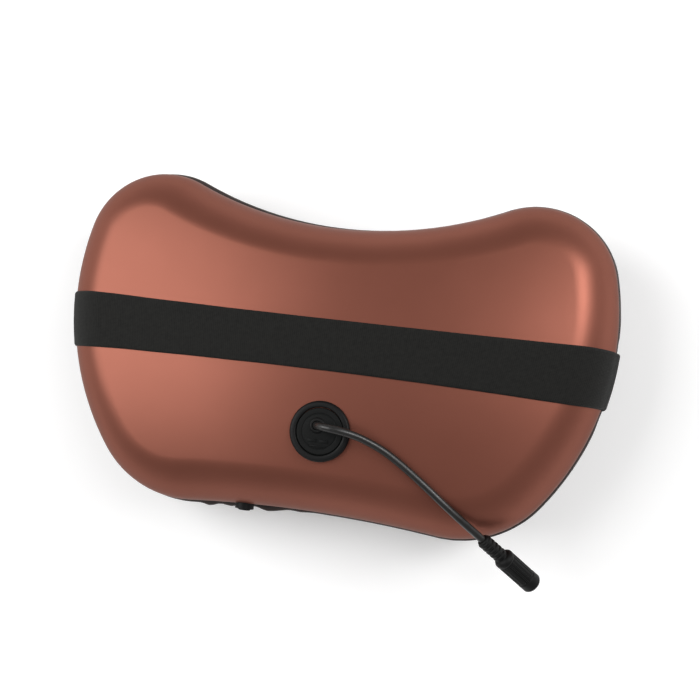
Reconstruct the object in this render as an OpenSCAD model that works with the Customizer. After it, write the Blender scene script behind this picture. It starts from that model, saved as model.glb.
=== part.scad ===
// Shiatsu neck massager, lying on its massage face. Millimetres, +X right, +Y to the notched edge, +Z up
// out of the back shell. The origin is under the middle of the outline, on the resting surface.

/* [Outline] */
// Half of the overall width, from the middle to the side edge
half_w = 160; // [156:0.5:164]
// Y of the centre of the big side arcs
side_y = 24.2; // [20:0.5:28]
// Radius of the two upper lobes
lobe_r = 47; // [44:0.5:50]
// Y of the lobe centres
lobe_y = 50; // [48:0.5:52]
// Y of the bottom of the neck notch
notch_y = 73.6; // [70:0.5:78]
// Radius of the two lower corners
corner_r = 62.4; // [60:0.5:65]
// Y of the lower corner centres
corner_y = -34.5; // [-36:0.5:-33]
// Y of the lower edge at the middle
bottom_y = -93; // [-95:0.5:-91]

/* [Shell and cover] */
// Height of the seam above the resting surface
seam_z = 42; // [40:0.5:44]
// Height where the back shell's wall starts to roll over
wall_z = 50; // [48:0.5:54]
// Height of the back shell's highest point
apex_z = 92; // [90:0.5:96]
// Width of the rolled shoulder of the back shell
shoulder_w = 26; // [22:1:28]
// Wall thickness of the back shell
shell_t = 3; // [2.4:0.2:3.2]
// Depth of the seam piping outside the shell
bead_r = 1.4; // [1:0.1:1.8]
// Height of the front cover's flat face
face_z = 14; // [12:0.5:16]
// Thickness of the front cover
cover_t = 2; // [1.6:0.2:2.4]

/* [Massage heads] */
// Distance from the middle to each head's axis
head_x = 51; // [51:0.5:52]
// Y of both head axes and of the worm's middle
head_y = -5; // [-6:0.5:-4]
// Radius of the circle that the balls travel on
orbit_r = 29; // [27:0.5:29]
// Radius of a massage ball
ball_r = 18; // [16:0.5:18]
// Height of a ball's centre
ball_z = 21.2; // [21.2:0.2:22]
// Radius of a ball's steel pin
pin_r = 3; // [2.5:0.1:3.5]
// Running clearance of every bore, on the radius
run_gap = 0.05; // [0.03:0.01:0.08]

/* [Gearbox] */
// Height of the worm's and the motor's axis
axis_z = 58.5; // [58:0.5:60]
// Face width of a worm wheel
wheel_h = 8; // [6:1:8]
// Length of the worm
worm_len = 22; // [20:1:24]
// Radius of an output shaft
shaft_r = 4; // [3.5:0.1:4.5]
// Radius of the motor can
motor_r = 12.2; // [11:0.1:12.4]
// Length of the motor can
motor_len = 31; // [28:1:32]

/* [Button] */
// X of the power button
button_x = -39; // [-42:1:-36]
// Height of the power button's axis
button_z = 53; // [52:0.5:54]
// Radius of the power button
button_r = 3.4; // [3:0.1:3.6]
// Travel of the power button
button_travel = 1.2; // [0.8:0.1:1.2]

/* [Lead and strap] */
// X of the round cord cap
cap_x = 6.3; // [4:0.1:8]
// Y of the round cord cap
cap_y = -44.7; // [-46:0.1:-43]
// Radius of the cord cap
cap_r = 16.5; // [15:0.5:18]
// Diameter of the power lead
lead_d = 4.2; // [4:0.1:4.4]
// Length of the in-line connector
conn_len = 43; // [40:1:46]
// Radius of the connector's body
conn_r = 5.75; // [5.5:0.05:6]
// Radius of the connector's centre pin
jack_pin_r = 1.05; // [1:0.05:1.25]
// Y of the middle of the elastic strap
strap_y = 2; // [0:0.5:4]
// Width of the strap where it is stitched down at the sides
strap_w = 32; // [30:0.5:34]
// Width of the strap at the middle of the back, where it is stretched
strap_mid_w = 28; // [26:0.5:32]
// Thickness of the strap
strap_t = 1.2; // [1:0.1:1.4]

/* [Hidden] */

$fn = 64;
e = 0.01;

// the wall's outer face stands behind the piping bead
wall_in = bead_r + 0.05;
rim_z = seam_z + 0.05;

// the arcs of the right half of the outline, each one tangent to the next
lobe_x = sqrt(pow(half_w - lobe_r, 2) - pow(lobe_y - side_y, 2));
corner_x = sqrt(pow(half_w - corner_r, 2) - pow(corner_y - side_y, 2));
notch_r = (lobe_x * lobe_x + pow(lobe_y - notch_y, 2) - lobe_r * lobe_r) / (2 * (lobe_r + lobe_y - notch_y));
notch_cy = notch_y + notch_r;
bottom_r = (corner_x * corner_x + pow(corner_y - bottom_y, 2) - corner_r * corner_r)
    / (2 * (corner_r - corner_y + bottom_y));
bottom_cy = bottom_y - bottom_r;
bottom_a = atan2(corner_y - bottom_cy, corner_x);
side_a0 = atan2(corner_y - side_y, corner_x);
side_a1 = atan2(lobe_y - side_y, lobe_x);
lobe_a = atan2(notch_cy - lobe_y, -lobe_x);

function arc(x, y, r, a0, a1, n) = [for (i = [0 : n - 1]) let (a = a0 + (a1 - a0) * i / n)
    [x + r * cos(a), y + r * sin(a)]];

// right half of the outline, moved inwards by d, from the lower middle round to the notch
function half_outline(d) = concat(
    arc(0, bottom_cy, bottom_r + d, 90, bottom_a, 5),
    arc(corner_x, corner_y, corner_r - d, bottom_a - 180, side_a0, 12),
    arc(0, side_y, half_w - d, side_a0, side_a1, 8),
    arc(lobe_x, lobe_y, lobe_r - d, side_a1, lobe_a, 15),
    arc(0, notch_cy, notch_r + d, lobe_a - 180, -90, 8),
    [[0, notch_y - d]]
);

// the whole outline, moved inwards by d, counter-clockwise
function outline(d) = let (h = half_outline(d), n = len(h))
    concat(h, [for (i = [n - 2 : -1 : 1]) [-h[i].x, h[i].y]]);

// height of the crowned back over a point of the plan
crown_x = 0.00062;
crown_y = 0.0010;
function crown(p) = apex_z - crown_x * p.x * p.x - crown_y * p.y * p.y;

// one closed ring of the back shell's surface, moved inwards and down by t: a is the angle round the shoulder
function shoulder_ring(a, t) = [for (p = outline(wall_in + t + shoulder_w * (1 - cos(a))))
    [p.x, p.y, wall_z + (crown(p) - t - wall_z) * sin(a)]];
function crown_ring(s, t) = [for (p = outline(wall_in + t + shoulder_w)) let (q = s * p)
    [q.x, q.y, crown(q) - t]];
function flat_ring(d, z) = [for (p = outline(d)) [p.x, p.y, z]];

// the back shell's surface from the rim to the middle
shoulder_steps = [0, 12, 24, 36, 48, 60, 72, 84];
crown_steps = [1, 0.8, 0.58, 0.34, 0.12];
function shell_rings(t) = concat(
    [flat_ring(wall_in + t, rim_z)],
    [for (a = shoulder_steps) shoulder_ring(a, t)],
    [for (s = crown_steps) crown_ring(s, t)]
);

// the front cover's surface from the rim down to the flat face, t inside the outer one; the inner one starts
// with the flange that the frame clamps
cover_roll_z = 35;
cover_roll_w = 22.5;
cover_rim_z = seam_z - 0.85;
cover_steps = [0, 18, 36, 54, 72, 90];
function cover_rings(t) = concat(
    t > 0 ? [flat_ring(flange_w, cover_rim_z), flat_ring(flange_w, flange_z), flat_ring(wall_in + t, flange_z)]
        : [flat_ring(wall_in, cover_rim_z)],
    [for (a = cover_steps) flat_ring(wall_in + t + cover_roll_w * (1 - cos(a)),
        cover_roll_z - (cover_roll_z - face_z - t) * sin(a))]
);

// faces of a stack of closed rings of n points; wrap joins the last ring to the first one
function stack_faces(rings, n, wrap) = [for (k = [0 : rings - (wrap ? 1 : 2)], i = [0 : n - 1])
    let (j = (i + 1) % n, m = (k + 1) % rings) each [
        [k * n + i, m * n + i, m * n + j],
        [k * n + i, m * n + j, k * n + j]
    ]];

// a closed wall between an outer and an inner stack of rings that start at the rim; each ends in a flat face,
// or in a middle point where one is given
module dish(outer, inner, middles, upward) {
    n = len(outer[0]);
    last = len(outer) + len(inner) - 1;
    rings = concat([for (k = [len(outer) - 1 : -1 : 0]) outer[k]], inner);
    points = concat([for (r = rings) each r], middles);
    caps = len(middles) == 0 ? [[for (i = [n - 1 : -1 : 0]) i], [for (i = [0 : n - 1]) last * n + i]]
        : concat(
            [for (i = [0 : n - 1]) [(i + 1) % n, i, (last + 1) * n]],
            [for (i = [0 : n - 1]) [last * n + i, last * n + (i + 1) % n, (last + 1) * n + 1]]
        );
    faces = concat(stack_faces(last + 1, n, false), caps);
    polyhedron(points, upward ? [for (f = faces) [for (k = [len(f) - 1 : -1 : 0]) f[k]]] : faces,
        convexity = 6);
}

// a ring of the outline's shape with the section that profile gives as [inset, z] pairs
module outline_ring(profile) {
    rings = [for (q = profile) flat_ring(q[0], q[1])];
    n = len(rings[0]);
    polyhedron([for (r = rings) each r], stack_faces(len(rings), n, true), convexity = 6);
}

// a tube of m sides and radius r along the route; the frame of each ring is carried from the one before
function unit(v) = v / norm(v);
function tangent(route, i) = unit(route[min(i + 1, len(route) - 1)] - route[max(i - 1, 0)]);
function side_vectors(route, i, u) = let (t = tangent(route, i), v = unit(u - (u * t) * t))
    i == len(route) - 1 ? [v] : concat([v], side_vectors(route, i + 1, v));
module tube(route, r, m) {
    n = len(route);
    us = side_vectors(route, 0, [0.1, 1, 0.2]);
    points = [for (i = [0 : n - 1], k = [0 : m - 1]) let (t = tangent(route, i), w = cross(t, us[i]))
        route[i] + r * (cos(360 * k / m) * us[i] + sin(360 * k / m) * w)];
    faces = concat(
        [[for (k = [0 : m - 1]) k]],
        [[for (k = [m - 1 : -1 : 0]) (n - 1) * m + k]],
        stack_faces(n, m, false)
    );
    polyhedron(points, faces, convexity = 8);
}

// a smooth route through hand-chosen points, with s steps between neighbours
function spline_at(p0, p1, p2, p3, t) = 0.5 * ((2 * p1) + (p2 - p0) * t
    + (2 * p0 - 5 * p1 + 4 * p2 - p3) * t * t + (3 * p1 - p0 - 3 * p2 + p3) * t * t * t);
function smooth_route(p, s) = let (n = len(p)) concat(
    [for (i = [0 : n - 2], k = [0 : s - 1])
        spline_at(p[max(i - 1, 0)], p[i], p[i + 1], p[min(i + 2, n - 1)], k / s)],
    [p[n - 1]]
);

// a cylinder between two heights
module post(r, z0, z1) {
    translate([0, 0, z0]) cylinder(r = r, h = z1 - z0);
}

// a cylinder along +Y from y0 to y1
module bar(r, y0, y1) {
    translate([0, y0, 0]) rotate([-90, 0, 0]) cylinder(r = r, h = y1 - y0);
}

// a pan-head screw pointing up, with its head's seat at the origin
module screw(r, len) {
    difference() {
        union() {
            post(r, -e, len);
            post(2 * r, -1.1 * r, 0);
        }
        post(0.7 * r, -1.1 * r - e, -0.5 * r);
    }
}

// the places where the case screws go through the flange, the frame and the lugs
lug_in = 8;
lug_r = 4.2;
screw_r = 1.5;
case_points = [
    for (s = [-1, 1]) [s * (lobe_x + (lobe_r - lug_in) * cos(55)), lobe_y + (lobe_r - lug_in) * sin(55)],
    for (s = [-1, 1])
        [s * (corner_x + (corner_r - lug_in) * cos(50)), corner_y - (corner_r - lug_in) * sin(50)],
    [0, notch_y - lug_in],
    [0, bottom_y + lug_in]
];
lug_top = 56;
flange_w = 12;
flange_z = cover_rim_z - cover_t;

// the front frame's plate
plate_z0 = rim_z;
plate_z1 = plate_z0 + 3;
plate_in = wall_in + shell_t + 0.15;

// the gearbox
box_z0 = plate_z1 + 0.1;
floor_t = 3;
split_z = axis_z;
box_top = 69;
box_wall = 2.2;
box_in_r = 48;
worm_bay_x = 9.5;
bay_y0 = head_y - 32.4;
bay_y1 = head_y + 16.5;
bay_end = 5.5;
ear_y = 52;
ear_r = 5;
ear_screw_r = 1.25;
ear_points = [for (s = [-1, 1], t = [-1, 1]) [s * head_x, head_y + t * ear_y]];
// the worm and the wheels: teeth of a wheel, gear module and the worm's pitch radius
teeth = 60;
gear_m = 1.5;
worm_r = 6;
pitch_r = gear_m * teeth / 2;
lead = PI * gear_m;
helix_p = lead / (2 * PI * worm_r);
backlash = 0.24;
addendum = 0.9 * gear_m;
dedendum = 1.25 * gear_m;
flank = tan(20);
wheel_z0 = axis_z - wheel_h / 2;
bush_r = 6;
motor_shaft_r = 1.5;
worm_bush_r = 4;
motor_y1 = bay_y0 - 0.3;
motor_y0 = motor_y1 - motor_len;
clamp_x = 16;
clamp_y = motor_y0 + motor_len / 2;
clamp_z = plate_z1 + 10;

// a massage head
arm_z0 = 37.5;
arm_z1 = 41.3;
ball_top = ball_z + 15.3;
ball_bore = pin_r + run_gap;
shaft_z0 = arm_z0 - 0.5;
shaft_z1 = box_top + 2;
pin_z0 = 12;

// the control board, its posts and the button
board_y = -77;
board_t = 1.6;
board_x = [-60, -16];
board_z = [46.5, 65];
button_y = -96.2;
collar_y = -86.5;
collar_r = 5;
bezel_y = -95.4;
bezel_r = 5.4;
bezel_flange_r = 7.4;

// the cord cap and its nut
cap_seat_z = 88.4;
cap_top_z = 92.6;
neck_r = 10.8;
hole_at = [4.7, -41.7];
nut_z = [82.4, 85.4];

// the connector's place: the tail's rear end, its droop and its heading, and the lead's route up to it
conn_at = [98.4, -91, 73];
conn_droop = 30;
conn_turn = -37;
tail_len = 17;
// the centre pin's wider foot, and where the foot and the floor of the contact are along the connector
jack_base_r = 1.6;
jack_base = conn_len - 11.98;
jack_floor = conn_len - 10.5;
lead_route = [
    [4.7, -41.7, 84], [4.7, -41.7, 90], [4.9, -41.7, 94.5], [7.2, -41.8, 99], [11.5, -42.1, 102],
    [17, -42.6, 102.3], [24, -43.8, 99.8], [32, -46.2, 95.8], [42, -50.6, 91.9], [53, -57.3, 89.5],
    [66, -66.5, 87.3], [77, -74.9, 84.6], [88, -83.2, 79.8], [98.4, -91, 73]
];
inner_route = [
    [4.7, -41.7, 83.8], [4.6, -42.5, 80], [0, -49, 76], [-10, -60, 75], [-22, -70, 74], [-29, -75, 71],
    [-30, -76.2, 66.6]
];
motor_route = [
    [-46, -76.2, 66.1], [-45, -76.5, 69], [-38, -80, 69.5], [-28, -81, 69], [-18, -81, 66],
    [-9, -80, 62], [-5.5, -78.5, 59.5], [-5, -76, 58.5], [-5, -73.5, 58.5]
];

// the strap's clearance above the shell, the height of its sewn ends, the radius of the bend lines, and
// the stations along and across it
strap_gap = 0.12;
strap_end_z = 26;
bend_r = half_w - wall_in - shoulder_w;
strap_ks = [0, 0.1, 0.19, 0.24, 0.299, 0.38, 0.46, 0.54, 0.62, 0.70, 0.78, 0.86, 0.94, 1,
    1.15, 1.3, 1.45, 1.6, 1.75, 1.88, 2];
lanes = [-1, -0.5, 0, 0.5, 1];

module place_connector() {
    translate(conn_at) rotate([0, 90 + conn_droop, conn_turn]) children();
}

// ---- casing ----

module back_shell() {
    color("#9c5a46") difference() {
        union() {
            dish(shell_rings(0), shell_rings(shell_t), [[0, 0, apex_z], [0, 0, apex_z - shell_t]], false);
            for (p = case_points) translate([p.x, p.y, 0]) post(lug_r, plate_z1 + 0.1, lug_top);
        }
        for (p = case_points) translate([p.x, p.y, 0]) post(screw_r, plate_z1, lug_top - 2);
        translate([cap_x, cap_y, 0]) {
            post(cap_r + 0.1, cap_seat_z, apex_z + 5);
            post(neck_r + 0.1, 80, cap_seat_z + e);
        }
        translate([button_x, 0, button_z]) bar(bezel_r + 0.05, -100, -84);
    }
}

module seam_piping() {
    bead = [for (a = [270 : -30 : 90]) [bead_r + bead_r * cos(a), seam_z - 0.4 + bead_r * sin(a)]];
    color("#1a1716") difference() {
        outline_ring(concat([[bead_r, seam_z - 0.8]], bead,
            [[bead_r, seam_z], [flange_w, seam_z], [flange_w, seam_z - 0.8]]));
        for (p = case_points) translate([p.x, p.y, 0]) post(screw_r, seam_z - 3, seam_z + 3);
    }
}

// half of the section of a dome of the front cover, up to the height top: r is its rounding's radius
module dome_section(r, top) {
    intersection() {
        union() {
            translate([orbit_r, ball_z]) circle(r = r, $fn = 128);
            translate([0, ball_z - r]) square([orbit_r, 40]);
        }
        square([100, top]);
    }
}

module front_cover() {
    color("#2a2624") difference() {
        union() {
            dish(cover_rings(0), cover_rings(cover_t), [], true);
            for (s = [-1, 1]) translate([s * head_x, head_y, 0])
                rotate_extrude($fn = 96) dome_section(ball_z, face_z + cover_t / 2);
        }
        for (s = [-1, 1]) translate([s * head_x, head_y, 0])
            rotate_extrude($fn = 96) dome_section(ball_z - 1.6, face_z + cover_t + 1);
        for (p = case_points) translate([p.x, p.y, 0]) post(screw_r, flange_z - 1, seam_z);
    }
}

module foam_pad() {
    well_r = box_in_r + 1.5;
    color("#d8d2b8") difference() {
        translate([0, 0, face_z + cover_t + 0.3])
            linear_extrude(plate_z0 - face_z - cover_t - 2.3) polygon(outline(wall_in + 27));
        for (s = [-1, 1]) translate([s * head_x, head_y, 0]) post(well_r, 0, 60);
        translate([-head_x, head_y - 30, 0]) cube([2 * head_x, 60, 60]);
    }
}

module front_frame() {
    post_d = 6;
    color("#e4e2dc") difference() {
        union() {
            translate([0, 0, plate_z0]) linear_extrude(plate_z1 - plate_z0) polygon(outline(plate_in));
            for (x = [board_x[0] + 4, board_x[1] - 4])
                translate([x - post_d / 2, board_y + board_t + 0.02, plate_z1 - e])
                    cube([post_d, post_d, board_z[1] - plate_z1]);
            for (s = [-1, 1]) translate([s * clamp_x, clamp_y, 0]) post(3, plate_z1 - e, clamp_z);
        }
        for (p = case_points) translate([p.x, p.y, 0]) post(screw_r, plate_z0 - 1, plate_z1 + 1);
        for (s = [-1, 1]) translate([s * head_x, head_y, 0]) post(8, plate_z0 - 1, plate_z1 + 1);
        for (p = ear_points) translate([p.x, p.y, 0]) post(ear_screw_r, plate_z0 - 1, plate_z1 + 1);
        for (s = [-1, 1]) translate([s * clamp_x, clamp_y, 0]) post(ear_screw_r, plate_z1 + 1, clamp_z + 1);
        for (x = [board_x[0] + 4, board_x[1] - 4]) translate([x, 0, 62])
            bar(1, board_y, board_y + 7);
    }
}

module case_screws() {
    color("#8b8f94") for (p = case_points) translate([p.x, p.y, flange_z]) screw(screw_r, 14);
}

// ---- gearbox ----

module box_plan(grow) {
    for (s = [-1, 1]) translate([s * head_x, head_y]) circle(r = box_in_r + grow, $fn = 128);
    translate([-worm_bay_x - grow, bay_y0 + box_wall - grow])
        square([2 * (worm_bay_x + grow), bay_y1 - bay_y0 - 2 * box_wall + 2 * grow]);
}

// the two solid ends of the worm's bay, which hold the worm bushes
module bay_ends() {
    for (y = [bay_y0, bay_y1 - bay_end]) translate([-6, y, box_z0]) cube([12, bay_end, box_top - box_z0]);
}

module bore_set(r, z0, z1) {
    for (s = [-1, 1]) translate([s * head_x, head_y, 0]) post(r, z0, z1);
}

module gearbox_base() {
    color("#ecebe6") difference() {
        union() {
            translate([0, 0, box_z0]) linear_extrude(split_z - box_z0 - 0.05) box_plan(box_wall);
            for (p = ear_points) translate([p.x, p.y, 0]) post(ear_r, box_z0, box_z0 + 9);
        }
        difference() {
            translate([0, 0, box_z0 + floor_t]) linear_extrude(30) box_plan(0);
            bay_ends();
        }
        bore_set(bush_r, box_z0 - 1, box_z0 + floor_t + 1);
        translate([0, 0, axis_z]) bar(worm_bush_r, bay_y0 - 1, bay_y1 + 1);
        for (p = ear_points) translate([p.x, p.y, 0]) post(ear_screw_r, box_z0 - 1, box_z0 + 7);
    }
}

module gearbox_cover() {
    color("#ecebe6") difference() {
        union() {
            translate([0, 0, split_z + 0.05]) linear_extrude(box_top - split_z - 0.05) box_plan(box_wall);
            bore_set(bush_r + 2, box_top - e, box_top + 1.5);
        }
        difference() {
            translate([0, 0, split_z - 1]) linear_extrude(box_top - box_wall - split_z + 1) box_plan(0);
            bay_ends();
        }
        bore_set(bush_r, box_top - 8, box_top + 3);
        translate([0, 0, axis_z]) bar(worm_bush_r, bay_y0 - 1, bay_y1 + 1);
    }
}

module gearbox_screws() {
    color("#8b8f94") for (p = ear_points) translate([p.x, p.y, plate_z0]) screw(ear_screw_r, 9);
}

module bush(r_out, r_in, z0, z1) {
    difference() {
        post(r_out, z0, z1);
        post(r_in, z0 - 1, z1 + 1);
    }
}

module lower_shaft_bushes() {
    color("#c8a24a") for (s = [-1, 1]) translate([s * head_x, head_y, 0])
        bush(bush_r, shaft_r + run_gap, box_z0, box_z0 + floor_t + 0.8);
}

module upper_shaft_bushes() {
    color("#c8a24a") for (s = [-1, 1]) translate([s * head_x, head_y, 0])
        bush(bush_r, shaft_r + run_gap, box_top - box_wall - 0.6, box_top + 1.5);
}

module worm_bushes() {
    color("#c8a24a") translate([0, 0, axis_z]) for (y = [bay_y0 + 0.5, bay_y1 - bay_end + 0.5])
        difference() {
            bar(worm_bush_r, y, y + 4.5);
            bar(motor_shaft_r + run_gap, y - 1, y + 6);
        }
}

module motor_can() {
    color("#b9bcc0") translate([0, 0, axis_z]) difference() {
        bar(motor_r, motor_y0, motor_y1);
        bar(motor_r - 0.8, motor_y0 - 1, motor_y1 - 0.8);
        bar(motor_shaft_r + 0.5, motor_y1 - 2, motor_y1 + 1);
    }
}

module motor_end_cap() {
    color("#222222") translate([0, 0, axis_z]) difference() {
        union() {
            bar(motor_r - 0.85, motor_y0 - 1.6, motor_y0 + 3);
            for (s = [-1, 1]) translate([s * 5 - 1, motor_y0 - 4.5, -0.3]) cube([2, 3, 0.6]);
        }
        bar(motor_shaft_r + 0.5, motor_y0, motor_y0 + 4);
    }
}

module motor_clamp() {
    clamp_w = 10;
    y0 = clamp_y - clamp_w / 2;
    foot_z = clamp_z + 0.02;
    foot_t = 1.4;
    color("#9a9da1") difference() {
        union() {
            translate([0, 0, axis_z]) bar(motor_r + foot_t, y0, y0 + clamp_w);
            translate([-clamp_x - 4, y0, foot_z]) cube([2 * clamp_x + 8, clamp_w, foot_t]);
        }
        translate([0, 0, axis_z]) bar(motor_r + 0.02, y0 - 1, y0 + clamp_w + 1);
        translate([-30, y0 - 1, 0]) cube([60, clamp_w + 2, foot_z]);
        for (s = [-1, 1]) translate([s * clamp_x, clamp_y, 0]) post(ear_screw_r, foot_z - 1, foot_z + 3);
    }
}

module clamp_screws() {
    color("#8b8f94") for (s = [-1, 1])
        translate([s * clamp_x, clamp_y, clamp_z + 1.45]) mirror([0, 0, 1]) screw(ear_screw_r, 7);
}

// ---- worm and wheels ----

module motor_shaft() {
    color("#d5d7da") translate([0, 0, axis_z]) {
        bar(motor_shaft_r, motor_y0 + 1, bay_y1 - 0.5);
        bar(motor_r - 2.2, motor_y0 + 6, motor_y1 - 5);
    }
}

module worm() {
    half = (lead / 2 - backlash) / 2;
    crest = 360 * (half - addendum * flank) / lead;
    root = 360 * (half + dedendum * flank) / lead;
    r1 = worm_r + addendum;
    r0 = worm_r - dedendum;
    section = concat(
        [for (k = [-2 : 2]) let (a = crest * k / 2) r1 * [cos(a), sin(a)]],
        [for (k = [1 : 6]) let (a = crest + (root - crest) * k / 7, r = r1 + (r0 - r1) * k / 7)
            r * [cos(a), sin(a)]],
        [for (k = [0 : 4]) let (a = root + (360 - 2 * root) * k / 4) r0 * [cos(a), sin(a)]],
        [for (k = [6 : -1 : 1]) let (a = -crest - (root - crest) * k / 7, r = r1 + (r0 - r1) * k / 7)
            r * [cos(a), sin(a)]]
    );
    turns = worm_len / lead;
    color("#c9cbce") translate([0, head_y, axis_z]) rotate([-90, 0, 0]) difference() {
        rotate([0, 0, -180 * turns])
            linear_extrude(worm_len, center = true, twist = -360 * turns, slices = ceil(20 * turns), segments = 22)
                polygon(section);
        cylinder(r = motor_shaft_r, h = worm_len + 2, center = true);
    }
}

// a worm wheel with a tooth, or with a gap if phase is half a pitch, on its +X side at mid-height
module worm_wheel(phase) {
    pitch_a = 360 / teeth;
    half = (lead / 2 - backlash) / 2;
    r1 = pitch_r + addendum;
    r0 = pitch_r - dedendum;
    tip = (half - addendum * flank) / r1 * 180 / PI;
    mid = half / pitch_r * 180 / PI;
    foot = (half + dedendum * flank) / r0 * 180 / PI;
    twist = -wheel_h * helix_p / pitch_r * 180 / PI;
    difference() {
        union() {
            translate([0, 0, wheel_z0]) rotate([0, 0, phase * pitch_a + twist / 2])
                linear_extrude(wheel_h, twist = twist, slices = 2)
                    polygon([for (k = [0 : teeth - 1], q = [[-foot, r0], [-mid, pitch_r], [-tip, r1],
                        [tip, r1], [mid, pitch_r], [foot, r0]]) let (a = k * pitch_a + q[0])
                            q[1] * [cos(a), sin(a)]]);
            post(9, box_z0 + floor_t + 1.2, box_top - box_wall - 0.9);
        }
        post(shaft_r, 0, 100);
        for (a = [0 : 60 : 359]) rotate([0, 0, a]) translate([26, 0, 0]) post(8, 0, 100);
    }
}

module left_worm_wheel() {
    color("#f2efe4") translate([-head_x, head_y, 0]) worm_wheel(0);
}

module right_worm_wheel() {
    color("#f2efe4") translate([head_x, head_y, 0]) worm_wheel(0.5);
}

module output_shaft() {
    difference() {
        post(shaft_r, shaft_z0, shaft_z1);
        post(1.5, shaft_z0 - 1, shaft_z0 + 9);
    }
}

module left_output_shaft() {
    color("#d5d7da") translate([-head_x, head_y, 0]) output_shaft();
}

module right_output_shaft() {
    color("#d5d7da") translate([head_x, head_y, 0]) output_shaft();
}

// ---- massage heads ----

module carrier() {
    color("#2f2d2c") difference() {
        union() {
            post(16, arm_z0, arm_z1);
            translate([-orbit_r, -10, arm_z0]) cube([2 * orbit_r, 20, arm_z1 - arm_z0]);
            for (s = [-1, 1]) translate([s * orbit_r, 0, 0]) post(12, arm_z0, arm_z1);
        }
        post(shaft_r, 0, 60);
        for (s = [-1, 1]) translate([s * orbit_r, 0, 0]) post(pin_r, 0, 60);
    }
}

module left_carrier() {
    translate([-head_x, head_y, 0]) carrier();
}

module right_carrier() {
    translate([head_x, head_y, 0]) carrier();
}

module carrier_screw() {
    color("#8b8f94") translate([0, 0, shaft_z0 - 0.02]) {
        screw(1.5, 8);
        difference() {
            post(6, -0.8, 0);
            post(2.9, -1, 1);
        }
    }
}

module left_carrier_screw() {
    translate([-head_x, head_y, 0]) carrier_screw();
}

module right_carrier_screw() {
    translate([head_x, head_y, 0]) carrier_screw();
}

module ball_pins() {
    color("#d5d7da") for (s = [-1, 1]) translate([s * orbit_r, 0, 0]) {
        post(pin_r, pin_z0, arm_z1);
        post(pin_r + 2, pin_z0 - 1.4, pin_z0);
    }
}

module left_ball_pins() {
    translate([-head_x, head_y, 0]) ball_pins();
}

module right_ball_pins() {
    translate([head_x, head_y, 0]) ball_pins();
}

module ball() {
    color("#7d2f24") difference() {
        translate([0, 0, ball_z]) sphere(r = ball_r, $fn = 96);
        post(40, ball_top, 60);
        post(ball_bore, 0, 60);
        post(pin_r + 3, 0, pin_z0 + 0.1);
    }
}

module left_outer_ball() {
    translate([-head_x - orbit_r, head_y, 0]) ball();
}

module left_inner_ball() {
    translate([-head_x + orbit_r, head_y, 0]) ball();
}

module right_inner_ball() {
    translate([head_x - orbit_r, head_y, 0]) ball();
}

module right_outer_ball() {
    translate([head_x + orbit_r, head_y, 0]) ball();
}

// ---- controls ----

module control_board() {
    color("#2c6b3f") difference() {
        union() {
            translate([board_x[0], board_y, board_z[0]])
                cube([board_x[1] - board_x[0], board_t, board_z[1] - board_z[0]]);
            translate([-52, board_y - 3, 48]) cube([7, 3.01, 12]);
        }
        for (x = [board_x[0] + 4, board_x[1] - 4]) translate([x, 0, 62]) bar(1, board_y - 1, board_y + 4);
    }
}

module board_screws() {
    color("#8b8f94") for (x = [board_x[0] + 4, board_x[1] - 4])
        translate([x, board_y, 62]) rotate([-90, 0, 0]) screw(1, 6);
}

module tact_switch() {
    color("#20201f") translate([button_x, 0, button_z]) {
        translate([-3, board_y - 3.5, -3]) cube([6, 3.48, 6]);
        bar(1.6, board_y - 4.2, board_y - 3.4);
    }
}

module power_button() {
    color("#151515") translate([button_x, 0, button_z]) {
        bar(button_r, button_y, collar_y + e);
        bar(collar_r, collar_y, collar_y + 1.5);
        bar(1.6, collar_y + 1, board_y - 4.2 - button_travel - 0.1);
    }
}

module button_bezel() {
    color("#0f0f0f") translate([button_x, 0, button_z]) difference() {
        union() {
            bar(bezel_r, bezel_y, collar_y - 0.5);
            bar(bezel_flange_r, collar_y - 1.2, collar_y - 0.1);
        }
        bar(button_r + run_gap, button_y - 1, collar_y + 6);
    }
}

// ---- power lead and connector ----

module cord_cap() {
    color("#121212") difference() {
        union() {
            translate([cap_x, cap_y, 0]) {
                post(cap_r, cap_seat_z + 0.02, cap_top_z);
                post(neck_r, 79, cap_seat_z + 1);
            }
        }
        translate([cap_x, cap_y, 0]) difference() {
            post(13, cap_top_z - 0.8, cap_top_z + 1);
            for (s = [-1, 1]) translate([s * 3.6 - 1.6, -8, 0]) cube([3.2, 3, cap_top_z - 0.3]);
        }
        translate([cap_x, cap_y, 0]) post(neck_r - 2.2, 78, cap_seat_z - 1);
        translate([hole_at.x, hole_at.y, 0]) post(lead_d / 2 + 0.05, 78, cap_top_z + 1);
    }
}

module cord_nut() {
    color("#1b1b1b") translate([cap_x, cap_y, 0]) difference() {
        translate([0, 0, nut_z[0]]) cylinder(r = 14.6, h = nut_z[1] - nut_z[0], $fn = 6);
        post(neck_r, 78, 90);
    }
}

module power_lead() {
    color("#262524") tube(smooth_route(lead_route, 4), lead_d / 2, 10);
}

module inner_lead() {
    color("#141414") tube(smooth_route(inner_route, 3), 1.5, 8);
}

module motor_lead() {
    color("#8e1d1d") tube(smooth_route(motor_route, 3), 1, 8);
}

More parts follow.
